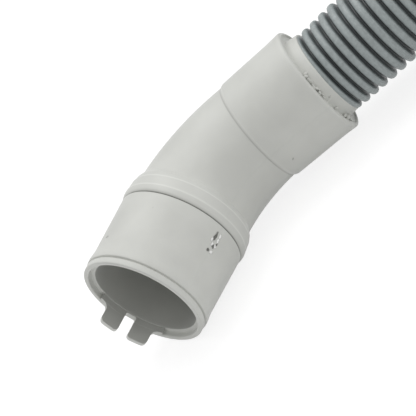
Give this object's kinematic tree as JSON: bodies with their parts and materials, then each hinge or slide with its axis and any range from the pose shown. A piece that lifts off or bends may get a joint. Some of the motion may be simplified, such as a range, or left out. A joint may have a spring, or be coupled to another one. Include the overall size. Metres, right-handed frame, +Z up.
{
  "type": "dishwasher drain hose",
  "caption": "Corrugated drain hose with a bent rubber cuff that has a socket, a clamp seat with a collar and two locating tabs, and a straight cuff on the far end.",
  "frame": {"origin": "on the surface that the hose lies on, under the middle of the elbow cuff's outline", "axes": "+X along the socket's axis, from its mouth into the cuff; +Z up from the surface, so that the bend lies flat and turns towards -Y"},
  "size_m": [0.4467, 0.3206, 0.0569],
  "materials": {
    "cuff_rubber": "matt pale grey moulded rubber",
    "hose_plastic": "satin blue-grey blow-moulded plastic"
  },
  "bodies": {
    "root": {"elbow_cuff": "cuff_rubber", "hose_lead": "hose_plastic", "hose_coil": "hose_plastic", "hose_tail": "hose_plastic", "end_cuff": "cuff_rubber"}
  },
  "joints": []
}
